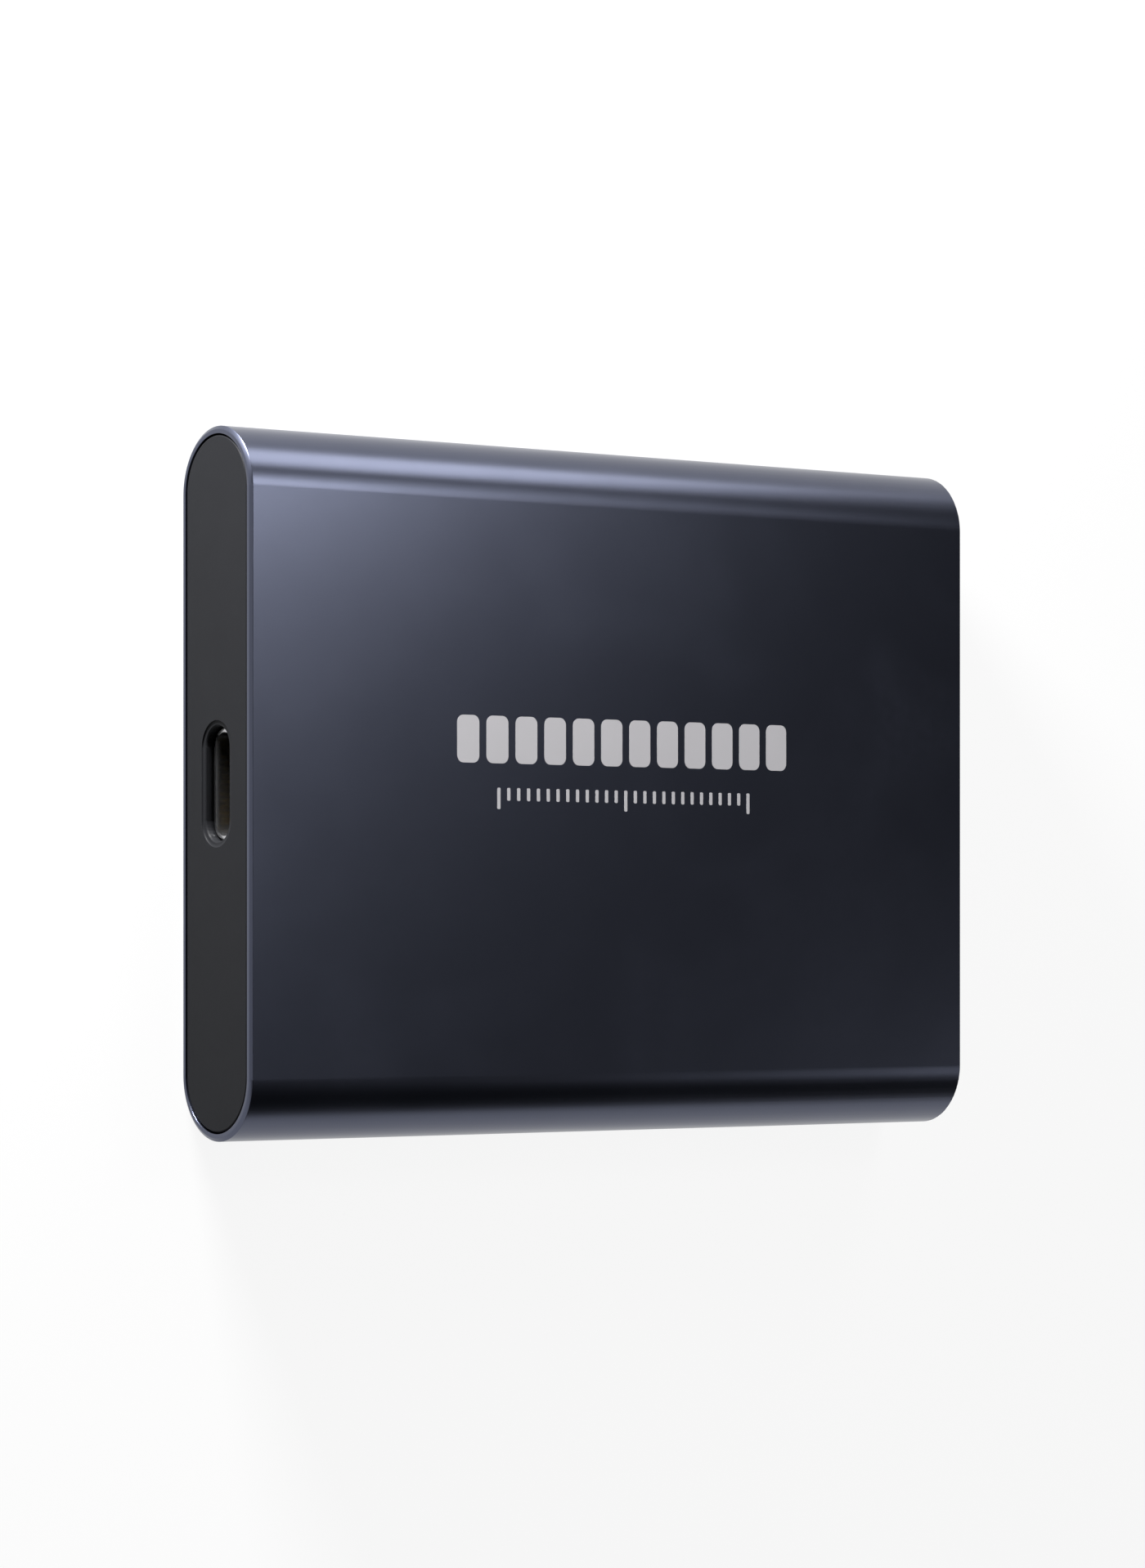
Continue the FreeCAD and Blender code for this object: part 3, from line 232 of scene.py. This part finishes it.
def new_group(name, inputs, outputs):
    """An empty shader group with float inputs (name: default) and float outputs."""
    group = bpy.data.node_groups.new(name, "ShaderNodeTree")
    for socket, default in inputs.items():
        made = group.interface.new_socket(name=socket, in_out="INPUT", socket_type="NodeSocketFloat")
        made.default_value = default
    for socket in outputs:
        group.interface.new_socket(name=socket, in_out="OUTPUT", socket_type="NodeSocketFloat")
    return group, group.nodes.new("NodeGroupInput"), group.nodes.new("NodeGroupOutput")


COARSE_SCALE = 0.37
COARSE_SHARE = 0.4


def grain_group():
    """Fine pits and nubs over slower patches: Height for a bump and Tone for a faint change of colour."""
    inputs = {"Scale": 9000.0, "Patch Scale": 220.0}
    group, given, out = new_group("Surface grain", inputs, ("Height", "Tone"))
    place = group.nodes.new("ShaderNodeTexCoord")
    fine, coarse, patch = (group.nodes.new("ShaderNodeTexNoise") for _ in range(3))
    fine.inputs["Detail"].default_value = 2.0
    coarse.inputs["Detail"].default_value = 1.0
    patch.inputs["Detail"].default_value = 3.0
    coarse_scale = group.nodes.new("ShaderNodeMath")
    coarse_scale.operation = "MULTIPLY"
    coarse_scale.inputs[1].default_value = COARSE_SCALE
    blend = group.nodes.new("ShaderNodeMix")
    blend.inputs["Factor"].default_value = COARSE_SHARE
    link = group.links.new
    for noise in (fine, coarse, patch):
        link(place.outputs["Object"], noise.inputs["Vector"])
    link(given.outputs["Scale"], fine.inputs["Scale"])
    link(given.outputs["Scale"], coarse_scale.inputs[0])
    link(coarse_scale.outputs[0], coarse.inputs["Scale"])
    link(given.outputs["Patch Scale"], patch.inputs["Scale"])
    link(fine.outputs["Fac"], blend.inputs["A"])
    link(coarse.outputs["Fac"], blend.inputs["B"])
    link(blend.outputs["Result"], out.inputs["Height"])
    link(patch.outputs["Fac"], out.inputs["Tone"])
    return group


def handling_group():
    """Faint smudges where a thing is held: a mask that is mostly nothing."""
    group, given, out = new_group("Handling marks", {"Scale": 60.0}, ("Mask",))
    place = group.nodes.new("ShaderNodeTexCoord")
    smear, break_up = group.nodes.new("ShaderNodeTexNoise"), group.nodes.new("ShaderNodeTexNoise")
    smear.inputs["Detail"].default_value = 2.0
    smear.inputs["Distortion"].default_value = 0.6
    break_up.inputs["Scale"].default_value = 1400.0
    window = group.nodes.new("ShaderNodeMapRange")
    window.inputs["From Min"].default_value = 0.5
    window.inputs["From Max"].default_value = 0.75
    both = group.nodes.new("ShaderNodeMath")
    both.operation = "MULTIPLY"
    link = group.links.new
    link(place.outputs["Object"], smear.inputs["Vector"])
    link(place.outputs["Object"], break_up.inputs["Vector"])
    link(given.outputs["Scale"], smear.inputs["Scale"])
    link(smear.outputs["Fac"], window.inputs["Value"])
    link(window.outputs["Result"], both.inputs[0])
    link(break_up.outputs["Fac"], both.inputs[1])
    link(both.outputs[0], out.inputs["Mask"])
    return group


def drawn_lines_group():
    """Long fine lines along the drive, as drawing or turning leaves them in metal."""
    group, given, out = new_group("Drawn lines", {"Scale": 3000.0}, ("Height",))
    place = group.nodes.new("ShaderNodeTexCoord")
    stretch = group.nodes.new("ShaderNodeMapping")
    stretch.inputs["Scale"].default_value = (0.04, 1.0, 1.0)
    lines = group.nodes.new("ShaderNodeTexNoise")
    lines.inputs["Detail"].default_value = 3.0
    link = group.links.new
    link(place.outputs["Object"], stretch.inputs["Vector"])
    link(stretch.outputs["Vector"], lines.inputs["Vector"])
    link(given.outputs["Scale"], lines.inputs["Scale"])
    link(lines.outputs["Fac"], out.inputs["Height"])
    return group


# Shader groups by name, once they are built.
GROUPS = {}


def placed_group(tree, name, **values):
    """A shader group in a material's tree, built the first time it is asked for."""
    makers = {"grain": grain_group, "handling": handling_group, "lines": drawn_lines_group}
    if name not in GROUPS:
        GROUPS[name] = makers[name]()
    node = tree.nodes.new("ShaderNodeGroup")
    node.node_tree = GROUPS[name]
    for socket, value in values.items():
        node.inputs[socket.replace("_", " ")].default_value = value
    return node


# --- finishes ---------------------------------------------------------------------------------------


def spread(tree, source, middle, change):
    """A value that swings by this much either way as the source goes from 0 to 1."""
    node = tree.nodes.new("ShaderNodeMapRange")
    node.inputs["To Min"].default_value = middle - change
    node.inputs["To Max"].default_value = middle + change
    tree.links.new(source, node.inputs["Value"])
    return node.outputs["Result"]


def new_finish(name, colour, roughness, metallic=0.0, scale=9000.0, bump=0.2, depth=0.01, tone=0.08,
               smudges=0.04, lines=False, specular=0.5, coat=0.0):
    """A finish with grain in its colour and surface, and faint smudges in its roughness."""
    material = bpy.data.materials.new(name)
    material.use_nodes = True
    tree = material.node_tree
    link = tree.links.new
    shader = tree.nodes["Principled BSDF"]
    shader.inputs["Metallic"].default_value = metallic
    shader.inputs["Specular IOR Level"].default_value = specular
    shader.inputs["Coat Weight"].default_value = coat
    grain = placed_group(tree, "grain", Scale=scale)
    shade = tree.nodes.new("ShaderNodeMix")
    shade.data_type = "RGBA"
    shade.inputs["A"].default_value = (*[c * (1 - tone) for c in colour], 1)
    shade.inputs["B"].default_value = (*[min(1, c * (1 + tone)) for c in colour], 1)
    link(grain.outputs["Tone"], shade.inputs["Factor"])
    link(shade.outputs["Result"], shader.inputs["Base Color"])
    marks = placed_group(tree, "handling")
    smudged = spread(tree, marks.outputs["Mask"], roughness, smudges)
    link(smudged, shader.inputs["Roughness"])
    surface = tree.nodes.new("ShaderNodeBump")
    surface.inputs["Strength"].default_value = bump
    surface.inputs["Distance"].default_value = depth * MM
    height = grain.outputs["Height"]
    if lines:
        height = placed_group(tree, "lines").outputs["Height"]
    link(height, surface.inputs["Height"])
    link(surface.outputs["Normal"], shader.inputs["Normal"])
    return material


def record_finishes(look):
    """One finish for each of the record's material slots."""
    plastic = {"scale": 5200.0, "bump": 0.35, "depth": 0.015}
    metal = {"metallic": 1.0, "bump": 0.15, "depth": 0.004}
    return {
        "anodised_aluminium": new_finish("anodised_aluminium", look.sleeve, look.sleeve_roughness,
                                         metallic=1.0, scale=11000.0, bump=0.3, depth=0.006, tone=0.05,
                                         smudges=0.02),
        "cap_plastic": new_finish("cap_plastic", look.cap, look.cap_roughness, specular=0.04, **plastic),
        "frame_plastic": new_finish("frame_plastic", look.frame_plastic, 0.55, **plastic),
        "adhesive_tape": new_finish("adhesive_tape", look.tape, 0.8, scale=3000.0, bump=0.4),
        "bare_aluminium": new_finish("bare_aluminium", look.bare_metal, 0.35, lines=True, **metal),
        "receptacle_steel": new_finish("receptacle_steel", look.steel, 0.24, lines=True, **metal),
        "insulator_plastic": new_finish("insulator_plastic", look.moulding, 0.4, scale=7000.0, bump=0.15),
        "gold_plate": new_finish("gold_plate", look.gold, 0.22, **metal),
        "circuit_board": new_finish("circuit_board", look.mask, 0.3, scale=2500.0, bump=0.15, tone=0.2,
                                    coat=0.3),
        "socket_plastic": new_finish("socket_plastic", look.moulding, 0.5, **plastic),
        "chip_resin": new_finish("chip_resin", look.resin, 0.6, scale=8000.0, bump=0.3, depth=0.01),
        "ferrite": new_finish("ferrite", look.ferrite, 0.65, scale=6000.0, bump=0.4, depth=0.02, tone=0.2),
        "crystal_can": new_finish("crystal_can", look.steel, 0.3, **metal),
        "capacitor_ceramic": new_finish("capacitor_ceramic", look.ceramic, 0.35, bump=0.1, tone=0.12),
        "tinned_metal": new_finish("tinned_metal", look.tin, 0.3, **metal),
        "silicone": new_finish("silicone", look.silicone, 0.7, scale=2500.0, bump=0.3, depth=0.02),
        "screw_steel": new_finish("screw_steel", look.steel, 0.28, lines=True, **metal),
        "standoff_brass": new_finish("standoff_brass", look.brass, 0.25, lines=True, **metal),
    }


# Finishes by material slot, filled by the first operator.
FINISHES = {}


class DriveOperator(bpy.types.Operator):
    """What the drive's operators share."""

    bl_options = {"REGISTER"}

    @property
    def sizes(self):
        return bpy.context.scene.drive_sizes

    @property
    def middle(self):
        """Height of the drive's mid-plane above the floor."""
        low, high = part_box("sleeve")
        return (low.z + high.z) / 2

    def skin(self, bm, sections, **how):
        """A loft along the drive, about its mid-plane."""
        verts = loft(bm, sections, self.sizes.arc_steps, radius=self.sizes.edge_round, **how)
        bmesh.ops.translate(bm, verts=verts, vec=(0, 0, self.middle))


class DRIVE_OT_finishes(bpy.types.Operator):
    """Builds a finish for each material slot and puts it on every carried CAD node"""

    bl_idname = "drive.finishes"
    bl_label = "Finishes"

    def execute(self, context):
        FINISHES.update(record_finishes(context.scene.drive_finishes))
        slots = {row["node"]: row["material_slot"] for row in frame["record"]["subparts"]}
        for name, node in frame["nodes"].items():
            for place in node.material_slots:
                place.material = FINISHES[slots[name]]
        return {"FINISHED"}


class DRIVE_OT_sleeve(DriveOperator):
    """Builds the extruded sleeve, with a seat and a bevelled rim at each end"""

    bl_idname = "drive.sleeve"
    bl_label = "Sleeve"

    def execute(self, context):
        size = self.sizes
        low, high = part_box("sleeve")
        end, width, thick = high.x, high.y - low.y, high.z - low.z

        def inset(amount):
            return width - 2 * amount, thick - 2 * amount

        half = [
            (end - size.rim_axial, *inset(0)),
            (end, *inset(size.rim_radial)),
            (end, *inset(size.lip)),
            (end - size.seat, *inset(size.lip)),
            (end - size.seat, *inset(size.wall)),
        ]
        sections = half + [(-x, w, h) for x, w, h in reversed(half)]
        bm = bmesh.new()
        self.skin(bm, sections, closed=True, rounded=(0, 1, 2, 7, 8, 9))
        piece = finish_piece(bm, "outer_sleeve", FINISHES["anodised_aluminium"])
        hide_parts("sleeve")
        return {"FINISHED"}


class DRIVE_OT_port_cap(DriveOperator):
    """Builds the port cap: its face with the recessed port hole, its skirt and its two screw lugs"""

    bl_idname = "drive.port_cap"
    bl_label = "Port cap"

    bar_stop = 1.3  # a bar's end to its eye's centre, in screw hole radii
    bar_width = 1.6  # a bar's width, in outer radii of its eye

    def execute(self, context):
        size = self.sizes
        low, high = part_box("port_cap")
        face, width, thick = low.x, high.y - low.y, high.z - low.z
        sleeve_low, sleeve_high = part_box("sleeve")
        back = sleeve_low.x + size.seat
        hole = (size.shell_width + 2 * size.port_gap, size.shell_height + 2 * size.port_gap)
        slide = 2 * (size.wall + size.slide_gap)
        skirt = (sleeve_high.y - sleeve_low.y - slide, sleeve_high.z - sleeve_low.z - slide)

        def grown(pair, amount):
            return pair[0] + 2 * amount, pair[1] + 2 * amount

        sections = [
            (face + size.ring_depth + size.port_edge, *hole),
            (face + size.ring_depth, *grown(hole, size.port_edge)),
            (face + size.ring_depth, size.ring_width, size.ring_height),
            (face, size.ring_width, size.ring_height),
            (face, *grown((width, thick), -size.cap_edge)),
            (face + size.cap_edge, width, thick),
            (back, width, thick),
            (back, *skirt),
            (back + size.skirt_length, *skirt),
            (back + size.skirt_length, *grown(skirt, -size.skirt_wall)),
            (back, *grown(skirt, -size.skirt_wall)),
            (back, *hole),
        ]
        bm = bmesh.new()
        self.skin(bm, sections, closed=True, rounded=(0, 1, 3, 4, 5))
        self.add_lugs(bm, back)
        piece = finish_piece(bm, "port_cap_moulding", FINISHES["cap_plastic"])
        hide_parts("port_cap")
        return {"FINISHED"}

    def add_lugs(self, bm, back):
        """Two bars behind the cap, each ending in an eye around its board screw."""
        size = self.sizes
        board_low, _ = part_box("main_board")
        _, cap_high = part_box("port_cap")
        screw_low, screw_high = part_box("board_screws")
        head = size.screw_head
        eye_x, eye_y = screw_low.x + head, screw_high.y - head
        outer = cap_high.x - eye_x
        bottom, top = board_low.z - size.lug_thick, board_low.z
        for side in (-1, 1):
            levels = ((top, outer), (bottom, outer), (bottom, size.lug_eye), (top, size.lug_eye))
            eye = loft(bm, [(z, 2 * r, 2 * r) for z, r in levels], size.arc_steps // 3, closed=True)
            upright = Matrix.Translation((eye_x, side * eye_y, 0)) @ Matrix.Rotation(-math.pi / 2, 4, "Y")
            bmesh.ops.transform(bm, matrix=upright, verts=eye)
            bar_end = eye_x - size.lug_eye * self.bar_stop
            shape = Matrix.Diagonal((bar_end - back, self.bar_width * outer, top - bottom, 1))
            centre = ((back + bar_end) / 2, side * eye_y, (top + bottom) / 2)
            bmesh.ops.create_cube(bm, size=1, matrix=Matrix.Translation(centre) @ shape)


class DRIVE_OT_rear_trim(DriveOperator):
    """Builds the trim plate that closes the far end"""

    bl_idname = "drive.rear_trim"
    bl_label = "Rear trim"

    def execute(self, context):
        size = self.sizes
        low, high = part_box("rear_trim")
        width, thick = high.y - low.y, high.z - low.z
        bm = bmesh.new()
        sections = [
            (low.x, width, thick),
            (high.x - size.cap_edge, width, thick),
            (high.x, width - 2 * size.cap_edge, thick - 2 * size.cap_edge),
        ]
        self.skin(bm, sections, rounded=(1, 2))
        piece = finish_piece(bm, "rear_trim_plate", FINISHES["cap_plastic"])
        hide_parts("rear_trim")
        return {"FINISHED"}


class DRIVE_OT_marking(DriveOperator):
    """Prints the marking on the front face: a row of rounded cells over a row of scale ticks"""

    bl_idname = "drive.marking"
    bl_label = "Marking"

    long_tick_every = 13
    short_tick = 0.6  # height of a short tick, as a share of a long one's
    tick_round = 0.3  # corner radius of a tick, as a share of its width

    def execute(self, context):
        marking = context.scene.drive_marking
        bm = bmesh.new()
        middle = (marking.cells - 1) / 2
        for i in range(marking.cells):
            place = ((i - middle) * marking.cell_pitch, marking.upper_row)
            self.print_bar(bm, place, marking.cell_width, marking.cell_height, marking.cell_round)
        middle = (marking.ticks - 1) / 2
        for i in range(marking.ticks):
            long_tick = i % self.long_tick_every == 0
            height = marking.tick_height * (1.0 if long_tick else self.short_tick)
            place = ((i - middle) * marking.tick_pitch, marking.lower_row - height / 2)
            self.print_bar(bm, place, marking.tick_width, height, marking.tick_width * self.tick_round)
        look = context.scene.drive_finishes
        ink = new_finish("printed_ink", look.ink, 0.55, scale=6000.0, bump=0.15, tone=0.04)
        finish_piece(bm, "front_marking", ink, smooth=False)
        return {"FINISHED"}

    def print_bar(self, bm, place, width, height, corner):
        """One bar of ink with rounded corners, standing on the front face."""
        marking = bpy.context.scene.drive_marking
        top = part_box("sleeve")[1].z
        shape = Matrix.Diagonal((width, height, marking.ink, 1))
        centre = Matrix.Translation((*place, top + marking.ink / 2))
        made = bmesh.ops.create_cube(bm, size=1, matrix=centre @ shape)
        upright = {e for v in made["verts"] for e in v.link_edges if e.calc_length() < marking.ink * 1.01}
        bmesh.ops.bevel(bm, geom=list(upright), offset=corner, offset_type="OFFSET", segments=CORNER_SEGMENTS,
                        profile=0.5, affect="EDGES", material=-1, clamp_overlap=True)


# --- stage ------------------------------------------------------------------------------------------


# Where the camera stands from the drive's middle, in millimetres.
CAMERA_STAND = (-239.12, -12.57, 324.89)

# Lamps that show as soft reflections in the front face: the x and y of the reflection on the face's plane,
# the distance from there to the lamp, the lamp's size (all in millimetres) and its power in watts.
FACE_LAMPS = {
    "face_left": (-90, 10, 350, 100, 0.08),
    "face_top": (-20, 75, 350, 100, 0.052),
    "face_near": (-45, 40, 200, 50, 0.062),
    "face_right": (75, -60, 350, 100, 0.045),
}

# Lamps for the upper edge and the port cap: place, target, size (all in millimetres) and power in watts.
EDGE_LAMPS = {
    "top_edge": ((110, 240, 120), (-30, 28, 5), 120, 0.26),
    "cap_side": ((-100, 160, 20), (-37, 15, 5), 60, 3.0),
}


def pale_ground():
    """White paper that keeps a soft shadow and shows as white by itself and in reflections."""
    material = bpy.data.materials.new("white_paper")
    material.use_nodes = True
    tree = material.node_tree
    link = tree.links.new
    shader = tree.nodes["Principled BSDF"]
    shader.inputs["Base Color"].default_value = (0.9, 0.9, 0.9, 1)
    shader.inputs["Roughness"].default_value = 0.9
    glow = tree.nodes.new("ShaderNodeEmission")
    rays = tree.nodes.new("ShaderNodeLightPath")
    seen = tree.nodes.new("ShaderNodeMath")
    seen.operation = "MAXIMUM"
    seen_through = tree.nodes.new("ShaderNodeMath")
    seen_through.operation = "MAXIMUM"
    share = tree.nodes.new("ShaderNodeMath")
    share.operation = "MULTIPLY"
    share.inputs[1].default_value = 0.9
    mix = tree.nodes.new("ShaderNodeMixShader")
    link(rays.outputs["Is Camera Ray"], seen.inputs[0])
    link(rays.outputs["Is Glossy Ray"], seen.inputs[1])
    link(seen.outputs[0], seen_through.inputs[0])
    link(rays.outputs["Is Transmission Ray"], seen_through.inputs[1])
    link(seen_through.outputs[0], share.inputs[0])
    link(share.outputs[0], mix.inputs["Fac"])
    link(shader.outputs["BSDF"], mix.inputs[1])
    link(glow.outputs["Emission"], mix.inputs[2])
    link(mix.outputs["Shader"], tree.nodes["Material Output"].inputs["Surface"])
    return material


class DRIVE_OT_stage(bpy.types.Operator):
    """Sets up the floor, its upright edge, the lamps, the world and the camera"""

    bl_idname = "drive.stage"
    bl_label = "Stage"

    floor_reach = 3.0
    edge_height = 0.7
    camera_tilt = 36.16
    camera_lens = 109.56
    camera_shift = 0.1001

    @property
    def camera_place(self):
        middle = sum(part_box("sleeve"), Vector()) / 2
        return middle + Vector(CAMERA_STAND) * MM

    def execute(self, context):
        self.add_floor()
        self.add_lamps()
        self.add_camera(context)
        world = bpy.data.worlds.new("studio")
        world.use_nodes = True
        sky = world.node_tree.nodes["Background"]
        sky.inputs["Color"].default_value = (0.9, 0.95, 1.0, 1)
        sky.inputs["Strength"].default_value = 0.02
        context.scene.world = world
        context.scene.view_settings.view_transform = "Standard"
        return {"FINISHED"}

    def add_floor(self):
        """A round floor whose rim turns up into a low wall."""
        bm = bmesh.new()
        bmesh.ops.create_circle(bm, cap_ends=True, segments=64, radius=self.floor_reach)
        raised = bmesh.ops.extrude_edge_only(bm, edges=[e for e in bm.edges if e.is_boundary])
        verts = [v for v in raised["geom"] if isinstance(v, bmesh.types.BMVert)]
        bmesh.ops.translate(bm, verts=verts, vec=(0, 0, self.edge_height))
        mesh = bpy.data.meshes.new("floor")
        bm.to_mesh(mesh)
        bm.free()
        mesh.materials.append(pale_ground())
        floor = bpy.data.objects.new("floor", mesh)
        bpy.context.scene.collection.objects.link(floor)

    def add_lamps(self):
        for name, (x, y, reach, size, power) in FACE_LAMPS.items():
            shown = Vector((x * MM, y * MM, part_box("sleeve")[1].z))
            ray = (shown - self.camera_place).normalized()
            ray.z = -ray.z
            self.add_lamp(name, shown + ray * reach * MM, shown, size, power)
        for name, (place, target, size, power) in EDGE_LAMPS.items():
            self.add_lamp(name, Vector(place) * MM, Vector(target) * MM, size, power)

    def add_lamp(self, name, place, target, size, power):
        """A square lamp that faces its target."""
        data = bpy.data.lights.new(name, "AREA")
        data.size = size * MM
        data.energy = power
        lamp = bpy.data.objects.new(name, data)
        lamp.location = place
        lamp.rotation_euler = (target - place).to_track_quat("-Z", "Y").to_euler()
        bpy.context.scene.collection.objects.link(lamp)

    def add_camera(self, context):
        """Looks down on the front and the port end, with the drive's width upright."""
        data = bpy.data.cameras.new("camera")
        data.sensor_width = 36.0
        data.lens = self.camera_lens
        data.shift_y = self.camera_shift
        data.clip_start = 0.01
        camera = bpy.data.objects.new("camera", data)
        camera.location = self.camera_place
        camera.rotation_euler = (0, -math.radians(self.camera_tilt), 0)
        context.scene.collection.objects.link(camera)
        context.scene.camera = camera


class VIEW3D_PT_drive(bpy.types.Panel):
    """Lists the drive's steps in the sidebar."""

    bl_label = "Drive"
    bl_space_type = "VIEW_3D"
    bl_region_type = "UI"
    bl_category = "Drive"

    def draw(self, context):
        for step in STEPS:
            self.layout.operator(step.bl_idname)


GROUP_CLASSES = (DriveSizes, DriveMarking, DriveFinishes)
STEPS = (
    DRIVE_OT_finishes,
    DRIVE_OT_sleeve,
    DRIVE_OT_port_cap,
    DRIVE_OT_rear_trim,
    DRIVE_OT_marking,
    DRIVE_OT_stage,
)
CLASSES = (*GROUP_CLASSES, *STEPS, VIEW3D_PT_drive)


def register():
    for cls in CLASSES:
        bpy.utils.register_class(cls)
    bpy.types.Scene.drive_sizes = PointerProperty(type=DriveSizes)
    bpy.types.Scene.drive_marking = PointerProperty(type=DriveMarking)
    bpy.types.Scene.drive_finishes = PointerProperty(type=DriveFinishes)


def unregister():
    del bpy.types.Scene.drive_finishes
    del bpy.types.Scene.drive_marking
    del bpy.types.Scene.drive_sizes
    for cls in reversed(CLASSES):
        bpy.utils.unregister_class(cls)


def main():
    register()
    bpy.ops.drive.finishes()
    bpy.ops.drive.sleeve()
    bpy.ops.drive.port_cap()
    bpy.ops.drive.rear_trim()
    bpy.ops.drive.marking()
    bpy.ops.drive.stage()


if __name__ == "__main__":
    main()
